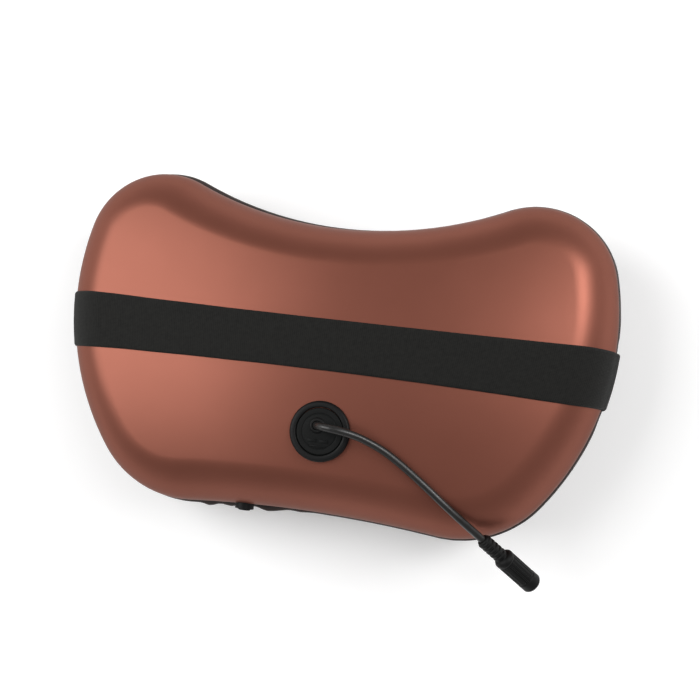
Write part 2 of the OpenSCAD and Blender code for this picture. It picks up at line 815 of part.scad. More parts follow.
module connector_shell() {
    rib = 1.1;
    color("#101010") place_connector() difference() {
        union() {
            post(3.4, 0, tail_len);
            for (k = [0 : 4]) post(4, 1.4 + 3 * k, 1.4 + 3 * k + 1.9);
            post(conn_r, tail_len - e, conn_len - 1);
            translate([0, 0, conn_len - 1]) cylinder(r1 = conn_r, r2 = conn_r - 0.8, h = 1);
            for (a = [0 : 30 : 359]) rotate([0, 0, a])
                translate([conn_r - 0.3, -rib / 2, tail_len + 3]) cube([0.6, rib, conn_len - tail_len - 8]);
        }
        post(3.6, conn_len - 12, conn_len + 1);
        post(lead_d / 2, -1, 6);
    }
}

module connector_contact() {
    color("#c9ccd1") place_connector() difference() {
        post(3.58, jack_base, conn_len - 1.5);
        post(2.8, jack_floor, conn_len);
        post(jack_base_r, jack_base, conn_len);
    }
}

module connector_pin() {
    color("#d9c27a") place_connector() union() {
        post(jack_base_r, jack_base, jack_floor);
        post(jack_pin_r, jack_floor - e, conn_len - 1.2);
    }
}

// ---- strap ----

// the strap's surface point on the row at y, moved out along the surface by h; k runs from 0 at the
// stitched end over the side (up to 1) to the middle of the back (2)
function side_x(rho, y) = sqrt(rho * rho - pow(y - side_y, 2));
function strap_point(k, y, h) =
    k < 0.2 ? let (z = strap_end_z + (seam_z - 4 - strap_end_z) * k / 0.2)
        [side_x(half_w - 0.9 * pow((seam_z - 4 - z) / 9, 2) + h, y), z] :
    k < 0.3 ? let (z = seam_z - 4 + 6 * (k - 0.2) / 0.1)
        [side_x(half_w + 0.1 + h, y), z] :
    k <= 1 ? let (a = 90 * (k - 0.3) / 0.7, x = side_x(bend_r + shoulder_w * cos(a), y),
            rise = crown([x, y]) - wall_z, nx = rise * cos(a), nz = shoulder_w * sin(a), q = norm([nx, nz]),
            lift = h + max(0, 1.4 * (1 - a / 14)))
        [side_x(bend_r + shoulder_w * cos(a) + lift * nx / q, y), wall_z + rise * sin(a) + lift * nz / q] :
    let (x = side_x(bend_r, y) * (2 - k))
        [x, crown([x, y]) + h];

// width of the strap at a distance x from the middle
function strap_half(x) = (strap_mid_w + (strap_w - strap_mid_w) * pow(min(abs(x) / 140, 1), 2)) / 2;
function strap_row(k, h, s) = [for (v = lanes)
    let (x0 = strap_point(k, strap_y, h)[0], y = strap_y + v * strap_half(x0), p = strap_point(k, y, h))
        [s * p[0], y, p[1]]];

module strap() {
    m = len(lanes);
    n = len(strap_ks);
    half_rows = function (h) concat(
        [for (k = strap_ks) strap_row(k, h, -1)],
        [for (i = [n - 2 : -1 : 0]) strap_row(strap_ks[i], h, 1)]
    );
    low = half_rows(strap_gap);
    top = half_rows(strap_gap + strap_t);
    rings = [for (i = [0 : len(low) - 1]) concat(low[i], [for (j = [m - 1 : -1 : 0]) top[i][j]])];
    c = 2 * m;
    last = (len(rings) - 1) * c;
    color("#23221f") polyhedron(
        [for (r = rings) each r],
        concat(
            stack_faces(len(rings), c, false),
            [[for (i = [0 : c - 1]) i]],
            [[for (i = [c - 1 : -1 : 0]) last + i]]
        ),
        convexity = 6
    );
}

back_shell();
seam_piping();
front_cover();
foam_pad();
front_frame();
case_screws();
gearbox_base();
gearbox_cover();
gearbox_screws();
worm_bushes();
lower_shaft_bushes();
upper_shaft_bushes();
motor_can();
motor_end_cap();
motor_clamp();
clamp_screws();
motor_shaft();
worm();
left_worm_wheel();
right_worm_wheel();
left_output_shaft();
right_output_shaft();
left_carrier();
right_carrier();
left_carrier_screw();
right_carrier_screw();
left_ball_pins();
right_ball_pins();
left_outer_ball();
left_inner_ball();
right_inner_ball();
right_outer_ball();
control_board();
board_screws();
tact_switch();
power_button();
button_bezel();
cord_cap();
cord_nut();
power_lead();
inner_lead();
motor_lead();
connector_shell();
connector_contact();
connector_pin();
strap();
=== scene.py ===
import math

import bmesh
import bpy
from mathutils import Matrix, Vector, noise


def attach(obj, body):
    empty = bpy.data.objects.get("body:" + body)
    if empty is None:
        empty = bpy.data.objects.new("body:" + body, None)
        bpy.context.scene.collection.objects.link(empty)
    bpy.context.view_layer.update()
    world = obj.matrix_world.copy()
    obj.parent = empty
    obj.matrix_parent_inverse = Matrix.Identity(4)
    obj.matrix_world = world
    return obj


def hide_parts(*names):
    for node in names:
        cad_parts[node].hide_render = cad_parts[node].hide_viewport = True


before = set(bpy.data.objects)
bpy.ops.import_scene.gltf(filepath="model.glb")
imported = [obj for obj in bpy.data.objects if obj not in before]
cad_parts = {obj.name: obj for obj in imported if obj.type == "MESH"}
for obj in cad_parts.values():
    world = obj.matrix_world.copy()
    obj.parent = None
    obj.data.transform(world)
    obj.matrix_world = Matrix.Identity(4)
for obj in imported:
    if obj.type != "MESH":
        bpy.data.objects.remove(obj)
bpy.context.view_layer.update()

MM = 0.001

# ---- driving dimensions, in millimetres, the same as the CAD model's ----
HALF_W, SIDE_Y = 160, 24.2
LOBE_R, LOBE_Y = 47, 50
NOTCH_Y = 73.6
CORNER_R, CORNER_Y = 62.4, -34.5
BOTTOM_Y = -93
SEAM_Z, WALL_Z, APEX_Z = 42, 50, 92
SHOULDER_W, SHELL_T, BEAD_R = 26, 3, 1.4
WALL_IN = BEAD_R + 0.05
CROWN_X, CROWN_Y = 0.00062, 0.0010
FACE_Z, COVER_ROLL_Z, COVER_ROLL_W = 14, 35, 22.5
HEAD_X, HEAD_Y, ORBIT_R = 51, -5, 29
CAP_X, CAP_Y, CAP_R, CAP_TOP, CAP_SEAT = 6.3, -44.7, 16.5, 92.6, 88.4
HOLE_X, HOLE_Y = 4.7, -41.7
STRAP_Y, STRAP_W, STRAP_MID_W, STRAP_T = 2, 32, 28, 1.2
STRAP_GAP, STRAP_END_Z = 0.12, 26
COVER_T, RIM_Z, FLANGE_W = 1.8, SEAM_Z - 0.85, 12
LEAD_D = 4.2
CONN_AT, CONN_DROOP, CONN_TURN = (98.4, -91, 73), 30, -37
TAIL_LEN, CONN_LEN, CONN_R = 17, 43, 5.75

# the rings of the cover's face from its edge to its middle, and the ring along which the mesh panel is sewn
FACE_RINGS, SEAM_RING = 96, 6


# ---- camera ----
def make_camera():
    """A camera over the back shell, turned a little to the side, as in the product picture."""
    distance, turn, lean, roll = 600, 10.24, -3.0, -7.32
    target = Vector((0, 0, SEAM_Z))
    spin = (Matrix.Rotation(math.radians(roll), 3, "Z") @ Matrix.Rotation(math.radians(lean), 3, "X")
            @ Matrix.Rotation(math.radians(-turn), 3, "Y"))
    data = bpy.data.cameras.new("camera")
    data.sensor_width = 36
    data.lens = 52.5
    data.shift_x, data.shift_y = 0.0225, 0.0062
    data.clip_start, data.clip_end = 0.01, 20
    camera = bpy.data.objects.new("camera", data)
    bpy.context.collection.objects.link(camera)
    place = (target + spin.transposed() @ Vector((0, 0, distance))) * MM
    camera.matrix_world = Matrix.Translation(place) @ spin.transposed().to_4x4()
    bpy.context.scene.camera = camera
    return camera


make_camera()


# ---- node helpers ----
def new_material(name):
    material = bpy.data.materials.new(name)
    material.use_nodes = True
    tree = material.node_tree
    return material, tree, tree.nodes["Principled BSDF"]


def add_node(tree, kind, **sockets):
    node = tree.nodes.new(kind)
    for key, value in sockets.items():
        node.inputs[key.replace("_", " ")].default_value = value
    return node


def object_coords(tree, scale=(1, 1, 1)):
    coords = tree.nodes.new("ShaderNodeTexCoord")
    mapping = tree.nodes.new("ShaderNodeMapping")
    mapping.inputs["Scale"].default_value = scale
    tree.links.new(coords.outputs["Object"], mapping.inputs["Vector"])
    return mapping.outputs["Vector"]


def ramp(tree, source, stops):
    node = tree.nodes.new("ShaderNodeValToRGB")
    elements = node.color_ramp.elements
    while len(elements) < len(stops):
        elements.new(0.5)
    for element, (place, colour) in zip(elements, stops):
        element.position = place
        element.color = (*colour, 1) if len(colour) == 3 else (colour[0],) * 3 + (1,)
    tree.links.new(source, node.inputs["Fac"])
    return node.outputs["Color"]


def noise_at(tree, vector, scale, detail=3.0, rough=0.5):
    node = add_node(tree, "ShaderNodeTexNoise", Scale=scale, Detail=detail, Roughness=rough)
    tree.links.new(vector, node.inputs["Vector"])
    return node.outputs["Fac"]


def bump(tree, shader, height, distance, strength=1.0, before=None):
    node = add_node(tree, "ShaderNodeBump", Strength=strength, Distance=distance)
    tree.links.new(height, node.inputs["Height"])
    if before is not None:
        tree.links.new(before, node.inputs["Normal"])
    tree.links.new(node.outputs["Normal"], shader.inputs["Normal"])
    return node.outputs["Normal"]


# ---- materials ----
def bronze_paint():
    """Satin metallic bronze paint: fine flakes, a faint orange peel and slight cloudiness."""
    material, tree, shader = new_material("bronze_paint")
    vector = object_coords(tree)
    cloud = noise_at(tree, vector, 14, 3)
    tree.links.new(ramp(tree, cloud, [(0.3, (0.226, 0.078, 0.053)), (0.7, (0.250, 0.087, 0.060))]),
                   shader.inputs["Base Color"])
    flakes = noise_at(tree, vector, 2600, 1)
    tree.links.new(ramp(tree, flakes, [(0.3, (0.36,)), (0.72, (0.43,))]), shader.inputs["Roughness"])
    shader.inputs["Metallic"].default_value = 0.65
    shader.inputs["Specular IOR Level"].default_value = 0.5
    shader.inputs["Specular Tint"].default_value = (0.36, 0.31, 0.29, 1)
    peel = bump(tree, shader, noise_at(tree, vector, 420, 2), 0.00004, 0.35)
    bump(tree, shader, flakes, 0.00002, 0.25, peel)
    return material


def moulded_plastic(name, colour, rough=0.42, grain=900, depth=0.00003, shine=0.5):
    material, tree, shader = new_material(name)
    shader.inputs["Specular IOR Level"].default_value = shine
    vector = object_coords(tree)
    cloud = noise_at(tree, vector, 60, 2)
    low = tuple(0.95 * c for c in colour)
    high = tuple(min(1, 1.04 * c) for c in colour)
    tree.links.new(ramp(tree, cloud, [(0.35, low), (0.65, high)]), shader.inputs["Base Color"])
    grains = noise_at(tree, vector, grain, 2)
    tree.links.new(ramp(tree, grains, [(0.3, (rough - 0.05,)), (0.7, (rough + 0.07,))]),
                   shader.inputs["Roughness"])
    bump(tree, shader, grains, depth, 0.5)
    return material


def brushed_metal(name, colour, rough=0.28):
    material, tree, shader = new_material(name)
    vector = object_coords(tree, (60, 60, 3000))
    streaks = noise_at(tree, vector, 1, 3)
    low = tuple(0.8 * c for c in colour)
    tree.links.new(ramp(tree, streaks, [(0.3, low), (0.7, colour)]), shader.inputs["Base Color"])
    tree.links.new(ramp(tree, streaks, [(0.3, (rough - 0.06,)), (0.7, (rough + 0.08,))]),
                   shader.inputs["Roughness"])
    shader.inputs["Metallic"].default_value = 1.0
    bump(tree, shader, streaks, 0.00001, 0.4)
    return material


def woven_elastic():
    """Black elastic webbing: fine ribs across the band and thinner yarns along it, its colour darker down in
    the grooves of the weave as painted shade.
    """
    material, tree, shader = new_material("woven_elastic")
    rib_pitch, thread_pitch = 1.1 * MM, 0.8 * MM
    coords = tree.nodes.new("ShaderNodeUVMap")
    coords.uv_map = "UVMap"
    waves = []
    for direction, pitch in (("X", rib_pitch), ("Y", thread_pitch)):
        node = tree.nodes.new("ShaderNodeTexWave")
        node.wave_type, node.bands_direction, node.wave_profile = "BANDS", direction, "SIN"
        # a wave texture of scale 1 repeats every 0.314
        node.inputs["Scale"].default_value = 0.314 / pitch
        node.inputs["Distortion"].default_value = 0.25
        node.inputs["Detail"].default_value = 1.5
        tree.links.new(coords.outputs["UV"], node.inputs["Vector"])
        waves.append(node.outputs["Fac"])
    weave = tree.nodes.new("ShaderNodeMath")
    weave.operation = "MULTIPLY"
    tree.links.new(waves[0], weave.inputs[0])
    tree.links.new(waves[1], weave.inputs[1])
    fuzz = noise_at(tree, object_coords(tree), 500, 3)
    height = tree.nodes.new("ShaderNodeMath")
    height.operation = "ADD"
    tree.links.new(weave.outputs[0], height.inputs[0])
    tree.links.new(fuzz, height.inputs[1])
    # colour from the weave's height: darker down in the grooves between ribs and yarns as painted shade,
    # with a random tone from the fuzz noise
    weave_tone_and_shade = [(0.2, (0.003, 0.003, 0.0027)), (1.0, (0.013, 0.0128, 0.0115))]
    tree.links.new(ramp(tree, height.outputs[0], weave_tone_and_shade), shader.inputs["Base Color"])
    shader.inputs["Roughness"].default_value = 0.82
    shader.inputs["Sheen Weight"].default_value = 0.03
    shader.inputs["Specular IOR Level"].default_value = 0.2
    shader.inputs["Sheen Roughness"].default_value = 0.5
    bump(tree, shader, height.outputs[0], 0.00016, 0.7)
    return material


def leatherette(name, colour, scale=700):
    material, tree, shader = new_material(name)
    vector = object_coords(tree)
    cells = tree.nodes.new("ShaderNodeTexVoronoi")
    cells.feature = "DISTANCE_TO_EDGE"
    cells.inputs["Scale"].default_value = scale
    tree.links.new(vector, cells.inputs["Vector"])
    tree.links.new(ramp(tree, noise_at(tree, vector, 35, 3),
                        [(0.3, tuple(0.8 * c for c in colour)), (0.7, tuple(1.2 * c for c in colour))]),
                   shader.inputs["Base Color"])
    tree.links.new(ramp(tree, noise_at(tree, vector, 250, 2), [(0.3, (0.42,)), (0.7, (0.58,))]),
                   shader.inputs["Roughness"])
    grain = ramp(tree, cells.outputs["Distance"], [(0.0, (0.0,)), (0.12, (1.0,))])
    bump(tree, shader, grain, 0.00006, 0.5)
    return material


def mesh_fabric(name, thread, hole_shade, cell=1.5):
    """Open spacer-mesh fabric: round cells on a fine knitted ground, the cells painted near black as the
    shade inside the openings. cell is in millimetres.
    """
    material, tree, shader = new_material(name)
    vector = object_coords(tree, (1, 1, 0.02))
    cells = tree.nodes.new("ShaderNodeTexVoronoi")
    cells.feature = "F1"
    cells.inputs["Scale"].default_value = 1 / (cell * MM)
    cells.inputs["Randomness"].default_value = 0.18
    tree.links.new(vector, cells.inputs["Vector"])
    hole = ramp(tree, cells.outputs["Distance"], [(0.26, (0.0,)), (0.42, (1.0,))])
    # the openings get the near-black colour: painted shade inside them
    colour = tree.nodes.new("ShaderNodeMixRGB")
    colour.inputs[1].default_value = (*hole_shade, 1)
    colour.inputs[2].default_value = (*thread, 1)
    tree.links.new(hole, colour.inputs[0])
    tree.links.new(colour.outputs[0], shader.inputs["Base Color"])
    tree.links.new(ramp(tree, hole, [(0.0, (0.95,)), (1.0, (0.75,))]), shader.inputs["Roughness"])
    shader.inputs["Sheen Weight"].default_value = 0.12
    shader.inputs["Sheen Roughness"].default_value = 0.4
    knit = noise_at(tree, vector, 3500, 1)
    first = bump(tree, shader, hole, 0.0003, 0.8)
    bump(tree, shader, knit, 0.00004, 0.5, first)
    return material


def soft_foam():
    material, tree, shader = new_material("soft_foam")
    vector = object_coords(tree)
    cells = tree.nodes.new("ShaderNodeTexVoronoi")
    cells.inputs["Scale"].default_value = 1400
    tree.links.new(vector, cells.inputs["Vector"])
    # the middles of the foam's cells, its pores, are painted darker: painted shade in the hollows
    tree.links.new(ramp(tree, cells.outputs["Distance"],
                        [(0.1, (0.42, 0.38, 0.25)), (0.6, (0.72, 0.68, 0.5))]),
                   shader.inputs["Base Color"])
    shader.inputs["Roughness"].default_value = 0.95
    bump(tree, shader, cells.outputs["Distance"], 0.0002, 0.8)
    return material


def circuit_board():
    material, tree, shader = new_material("circuit_board")
    vector = object_coords(tree)
    bricks = tree.nodes.new("ShaderNodeTexBrick")
    bricks.inputs["Scale"].default_value = 260
    bricks.inputs["Color1"].default_value = (0.02, 0.14, 0.06, 1)
    bricks.inputs["Color2"].default_value = (0.015, 0.11, 0.05, 1)
    bricks.inputs["Mortar"].default_value = (0.04, 0.22, 0.1, 1)
    tree.links.new(vector, bricks.inputs["Vector"])
    tree.links.new(bricks.outputs["Color"], shader.inputs["Base Color"])
    shader.inputs["Roughness"].default_value = 0.35
    bump(tree, shader, bricks.outputs["Fac"], 0.00002, 0.4)
    return material


BRONZE = bronze_paint()
BLACK = moulded_plastic("black_plastic", (0.004, 0.004, 0.004), 0.48, shine=0.2)
BLACK_DISC = moulded_plastic("black_disc", (0.005, 0.0055, 0.0053), 0.55, shine=0.14)
JACKET = moulded_plastic("lead_jacket", (0.012, 0.0115, 0.011), 0.34, 500, 0.00002)
NATURAL = moulded_plastic("natural_plastic", (0.72, 0.71, 0.68), 0.45)
ACETAL = moulded_plastic("acetal", (0.84, 0.82, 0.74), 0.35)
DARK_NYLON = moulded_plastic("dark_nylon", (0.05, 0.046, 0.042), 0.5)
BALL_PLASTIC = moulded_plastic("ball_plastic", (0.28, 0.06, 0.04), 0.2, 300, 0.00001)
RED_WIRE = moulded_plastic("red_wire", (0.33, 0.02, 0.02), 0.4)
STEEL = brushed_metal("steel", (0.56, 0.57, 0.59))
NICKEL = brushed_metal("nickel", (0.66, 0.66, 0.64), 0.2)
SINTERED = brushed_metal("sintered_bronze", (0.55, 0.38, 0.16), 0.45)
ELASTIC = woven_elastic()
PIPING = leatherette("piping_leatherette", (0.036, 0.024, 0.021), 900)
BORDER = leatherette("border_leatherette", (0.060, 0.030, 0.022), 620)
# the second colour is painted shade in the mesh's openings
MESH = mesh_fabric("spacer_mesh", (0.055, 0.048, 0.044), (0.006, 0.005, 0.005))
FOAM = soft_foam()
BOARD = circuit_board()
THREAD = moulded_plastic("thread", (0.10, 0.055, 0.04), 0.7, 2500, 0.00003)
STRAP_THREAD = moulded_plastic("strap_thread", (0.022, 0.021, 0.02), 0.7, 2500, 0.00003)


# ---- the outline and the surfaces that both halves are made of ----
LOBE_X = math.sqrt((HALF_W - LOBE_R) ** 2 - (LOBE_Y - SIDE_Y) ** 2)
CORNER_X = math.sqrt((HALF_W - CORNER_R) ** 2 - (CORNER_Y - SIDE_Y) ** 2)
NOTCH_R = ((LOBE_X ** 2 + (LOBE_Y - NOTCH_Y) ** 2 - LOBE_R ** 2) / (2 * (LOBE_R + LOBE_Y - NOTCH_Y)))
BOTTOM_R = ((CORNER_X ** 2 + (CORNER_Y - BOTTOM_Y) ** 2 - CORNER_R ** 2)
            / (2 * (CORNER_R - CORNER_Y + BOTTOM_Y)))
NOTCH_CY, BOTTOM_CY = NOTCH_Y + NOTCH_R, BOTTOM_Y - BOTTOM_R
BOTTOM_A = math.degrees(math.atan2(CORNER_Y - BOTTOM_CY, CORNER_X))
SIDE_A0 = math.degrees(math.atan2(CORNER_Y - SIDE_Y, CORNER_X))
SIDE_A1 = math.degrees(math.atan2(LOBE_Y - SIDE_Y, LOBE_X))
LOBE_A = math.degrees(math.atan2(NOTCH_CY - LOBE_Y, -LOBE_X))
ARCS = [
    (0, BOTTOM_CY, BOTTOM_R, 1, 90, BOTTOM_A, 26),
    (CORNER_X, CORNER_Y, CORNER_R, -1, BOTTOM_A - 180, SIDE_A0, 44),
    (0, SIDE_Y, HALF_W, -1, SIDE_A0, SIDE_A1, 60),
    (LOBE_X, LOBE_Y, LOBE_R, -1, SIDE_A1, LOBE_A, 52),
    (0, NOTCH_CY, NOTCH_R, 1, LOBE_A - 180, -90, 40),
]


def outline(inset):
    """The outline moved inwards by inset, counter-clockwise from the lower middle."""
    half = []
    for x, y, r, grow, a0, a1, count in ARCS:
        for i in range(count):
            a = math.radians(a0 + (a1 - a0) * i / count)
            half.append((x + (r + grow * inset) * math.cos(a), y + (r + grow * inset) * math.sin(a)))
    half.append((0, NOTCH_Y - inset))
    return half + [(-x, y) for x, y in half[-2:0:-1]]


def crown(x, y):
    return APEX_Z - CROWN_X * x * x - CROWN_Y * y * y


def shoulder(x, y, a, t=0.0):
    """Height of the rolled shoulder over a point of its ring, a degrees up from the wall."""
    return WALL_Z + (crown(x, y) - t - WALL_Z) * math.sin(math.radians(a))


def mesh_object(name, points, faces, materials, smooth=True, uv=None):
    mesh = bpy.data.meshes.new(name)
    mesh.from_pydata([(x * MM, y * MM, z * MM) for x, y, z in points], [], faces)
    mesh.validate()
    for material in materials:
        mesh.materials.append(material)
    if smooth:
        mesh.shade_smooth()
    if uv is not None:
        layer = mesh.uv_layers.new(name="UVMap")
        for loop in mesh.loops:
            layer.data[loop.index].uv = uv[loop.vertex_index]
    obj = bpy.data.objects.new(name, mesh)
    bpy.context.collection.objects.link(obj)
    return obj


def stitch_row(name, line, normals, material, pitch=3.4, length=2.3, radius=0.28, closed=True):
    """Separate stitches of thread along a line of points, each sunk into the cloth at both ends."""
    steps, sides = 4, 6
    line = [Vector(p) for p in line]
    normals = [Vector(n) for n in normals]
    if closed:
        line, normals = line + line[:1], normals + normals[:1]
    marks = [0.0]
    for a, b in zip(line, line[1:]):
        marks.append(marks[-1] + (b - a).length)
    at = 0

    def place(d):
        nonlocal at
        while at < len(marks) - 2 and marks[at + 1] < d:
            at += 1
        t = (d - marks[at]) / max(marks[at + 1] - marks[at], 1e-6)
        return line[at].lerp(line[at + 1], t), normals[at].lerp(normals[at + 1], t).normalized()

    points, faces = [], []
    count = max(1, int(marks[-1] / pitch))
    for k in range(count):
        start = (k + 0.5) * marks[-1] / count - length / 2
        base = len(points)
        for step in range(steps + 1):
            p, n = place(start + length * step / steps)
            q, _ = place(start + length * step / steps + 0.05)
            along = (q - p).normalized()
            across = along.cross(n).normalized()
            arch = math.sin(math.pi * step / steps)
            lift = radius * (arch - 0.5)
            thick = radius * (0.6 + 0.4 * arch)
            for j in range(sides):
                a = 2 * math.pi * j / sides
                points.append(tuple(p + n * (lift + thick * math.sin(a)) + across * thick * math.cos(a)))
        faces += [tuple(base + i for i in f) for f in ring_faces(steps + 1, sides)]
        faces += [tuple(end + i for i in range(sides)) for end in (base, base + steps * sides)]
    return outward(mesh_object(name, points, faces, [material]))


def outward(obj):
    """Turns every face's normal outwards."""
    work = bmesh.new()
    work.from_mesh(obj.data)
    bmesh.ops.recalc_face_normals(work, faces=work.faces)
    work.to_mesh(obj.data)
    work.free()
    return obj


def ring_faces(rings, count, wrap=False):
    """Quads between neighbouring closed rings of count points."""
    faces = []
    for k in range(rings if wrap else rings - 1):
        a, b = k * count, (k + 1) % rings * count
        faces += [(a + i, a + (i + 1) % count, b + (i + 1) % count, b + i) for i in range(count)]
    return faces


def lathe(name, profile, material, at=(0, 0, 0), count=96):
    """A body of revolution about +Z from (radius, height) pairs, closed at both ends."""
    points = []
    for r, z in profile:
        points += [(r * math.cos(2 * math.pi * i / count), r * math.sin(2 * math.pi * i / count), z)
                   for i in range(count)]
    faces = ring_faces(len(profile), count)
    faces.append(tuple(range(count))[::-1])
    faces.append(tuple((len(profile) - 1) * count + i for i in range(count)))
    obj = mesh_object(name, points, faces, [material])
    obj.data.transform(Matrix.Translation(Vector(at) * MM))
    return outward(obj)


def rounded(profile, radius, steps=4):
    """The (radius, height) profile with every corner but its two ends rounded off."""
    result = [profile[0]]
    for before, here, after in zip(profile, profile[1:], profile[2:]):
        p, q, s = Vector(before), Vector(here), Vector(after)
        r = min(radius, 0.45 * (p - q).length, 0.45 * (s - q).length)
        a, b = q + (p - q).normalized() * r, q + (s - q).normalized() * r
        for i in range(steps + 1):
            t = i / steps
            point = a * (1 - t) ** 2 + q * 2 * t * (1 - t) + b * t ** 2
            result.append((point.x, point.y))
    return result + [profile[-1]]


def sharp_edges(obj, degrees):
    obj.data.set_sharp_from_angle(angle=math.radians(degrees))


# ---- the lead and its connector ----
LEAD_ROUTE = [
    (4.7, -41.7, 84), (4.7, -41.7, 90), (4.9, -41.7, 94.5), (7.2, -41.8, 99), (11.5, -42.1, 102),
    (17, -42.6, 102.3), (24, -43.8, 99.8), (32, -46.2, 95.8), (42, -50.6, 91.9), (53, -57.3, 89.5),
    (66, -66.5, 87.3), (77, -74.9, 84.6), (88, -83.2, 79.8), (98.4, -91, 73)
]


def smooth_route(points, steps):
    """Catmull-Rom points through the route."""
    route = []
    for i in range(len(points) - 1):
        near = [min(max(k, 0), len(points) - 1) for k in (i - 1, i, i + 1, i + 2)]
        p0, p1, p2, p3 = (Vector(points[k]) for k in near)
        for k in range(steps):
            t = k / steps
            route.append(0.5 * (2 * p1 + (p2 - p0) * t + (2 * p0 - 5 * p1 + 4 * p2 - p3) * t * t
                                + (3 * p1 - p0 - 3 * p2 + p3) * t ** 3))
    return route + [Vector(points[-1])]


def make_lead():
    route = smooth_route(LEAD_ROUTE, 4)
    data = bpy.data.curves.new("lead_cord", "CURVE")
    data.dimensions = "3D"
    data.bevel_depth = LEAD_D / 2 * MM
    data.bevel_resolution = 8
    data.use_fill_caps = True
    spline = data.splines.new("POLY")
    spline.points.add(len(route) - 1)
    for point, place in zip(spline.points, route):
        point.co = (*(place * MM), 1)
    data.materials.append(JACKET)
    lead = bpy.data.objects.new("lead_cord", data)
    bpy.context.collection.objects.link(lead)
    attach(lead, "housing")
    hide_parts("power_lead")
    return lead, route


CONN_FRAME = (Matrix.Translation(Vector(CONN_AT) * MM) @ Matrix.Rotation(math.radians(CONN_TURN), 4, "Z")
              @ Matrix.Rotation(math.radians(90 + CONN_DROOP), 4, "Y"))


def make_connector():
    """The in-line socket: a ribbed tail, a stepped body with grip ribs and a chamfered mouth."""
    mouth_r, mouth_depth = 3.6, 12
    tail = [(0.2, 0.0), (2.9, 0.0), (3.5, 0.7)]
    for k in range(5):
        z = 1.3 + 3 * k
        tail += [(3.4, z), (4.0, z + 0.35), (4.0, z + 1.75), (3.4, z + 2.1)]
    body = [(3.6, TAIL_LEN - 0.8), (CONN_R - 0.9, TAIL_LEN - 0.4), (CONN_R, TAIL_LEN + 0.9),
            (CONN_R, TAIL_LEN + 2.6), (CONN_R - 0.35, TAIL_LEN + 3.0), (CONN_R - 0.35, CONN_LEN - 6.5),
            (CONN_R, CONN_LEN - 6.1), (CONN_R, CONN_LEN - 1.1), (CONN_R - 0.8, CONN_LEN),
            (mouth_r + 0.15, CONN_LEN), (mouth_r, CONN_LEN - 0.3), (mouth_r, CONN_LEN - mouth_depth),
            (0.2, CONN_LEN - mouth_depth)]
    shell = lathe("connector_body", rounded(tail + body, 0.25, 3), BLACK)

    # each rib is a flat-topped bar with sloped sides: four rows of four points along the body
    points, faces = [], []
    ribs = 18
    for k in range(ribs):
        a = 2 * math.pi * k / ribs
        base = len(points)
        for z0, lift in ((TAIL_LEN + 3.2, 0), (TAIL_LEN + 3.9, 1), (CONN_LEN - 7.4, 1), (CONN_LEN - 6.7, 0)):
            for side, out in ((-1, 0), (-0.55, 1), (0.55, 1), (1, 0)):
                r = CONN_R - 0.6 + (0.52 * out * lift if out else 0)
                w = side * 0.5
                points.append((r * math.cos(a) - w * math.sin(a), r * math.sin(a) + w * math.cos(a), z0))
        for i in range(3):
            for j in range(3):
                near = base + 4 * i + j
                faces.append((near, near + 1, near + 5, near + 4))
        faces.append((base, base + 4, base + 8, base + 12, base + 15, base + 11, base + 7, base + 3))
        faces.append((base, base + 3, base + 2, base + 1))
        faces.append((base + 12, base + 13, base + 14, base + 15))
    grip = outward(mesh_object("connector_grip", points, faces, [BLACK], smooth=False))
    for piece in (shell, grip):
        piece.data.transform(CONN_FRAME)
        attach(piece, "housing")
    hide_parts("connector_shell")
    sharp_edges(shell, 50)
    return [shell, grip]


lead, lead_points = make_lead()
connector_pieces = make_connector()


# ---- back shell ----
def make_back_shell():
    rings = []

    def flat(inset, z):
        rings.append([(x, y, z) for x, y in outline(inset)])

    def skin(t, steps, crowns):
        for k in range(steps + 1):
            a = 90 * k / steps
            inset = WALL_IN + t + SHOULDER_W * (1 - math.cos(math.radians(a)))
            rings.append([(x, y, shoulder(x, y, a, t)) for x, y in outline(inset)])
        edge = outline(WALL_IN + t + SHOULDER_W)
        for k in range(1, crowns):
            s = 1 - k / crowns
            rings.append([(s * x, s * y, crown(s * x, s * y) - t) for x, y in edge])

    # outer skin from the middle down to the rim, then the inner skin back up
    skin(0, 44, 26)
    rings.reverse()
    for z in (48, 46, 44.2, 43.4):
        flat(WALL_IN, z)
    flat(WALL_IN + 0.12, SEAM_Z + 0.35)
    flat(WALL_IN + 0.4, SEAM_Z + 0.06)
    flat(WALL_IN + SHELL_T, SEAM_Z + 0.06)
    skin(SHELL_T, 18, 8)
    count = len(rings[0])
    points = [p for ring in rings for p in ring] + [(0, 0, APEX_Z), (0, 0, APEX_Z - SHELL_T)]
    faces = ring_faces(len(rings), count)
    top, under = len(points) - 2, len(points) - 1
    last = (len(rings) - 1) * count
    faces += [((i + 1) % count, i, top) for i in range(count)]
    faces += [(last + i, last + (i + 1) % count, under) for i in range(count)]
    shell = outward(mesh_object("back_shell_skin", points, faces, [BRONZE]))
    sharp_edges(shell, 60)
    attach(shell, "housing")
    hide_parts("back_shell")


make_back_shell()


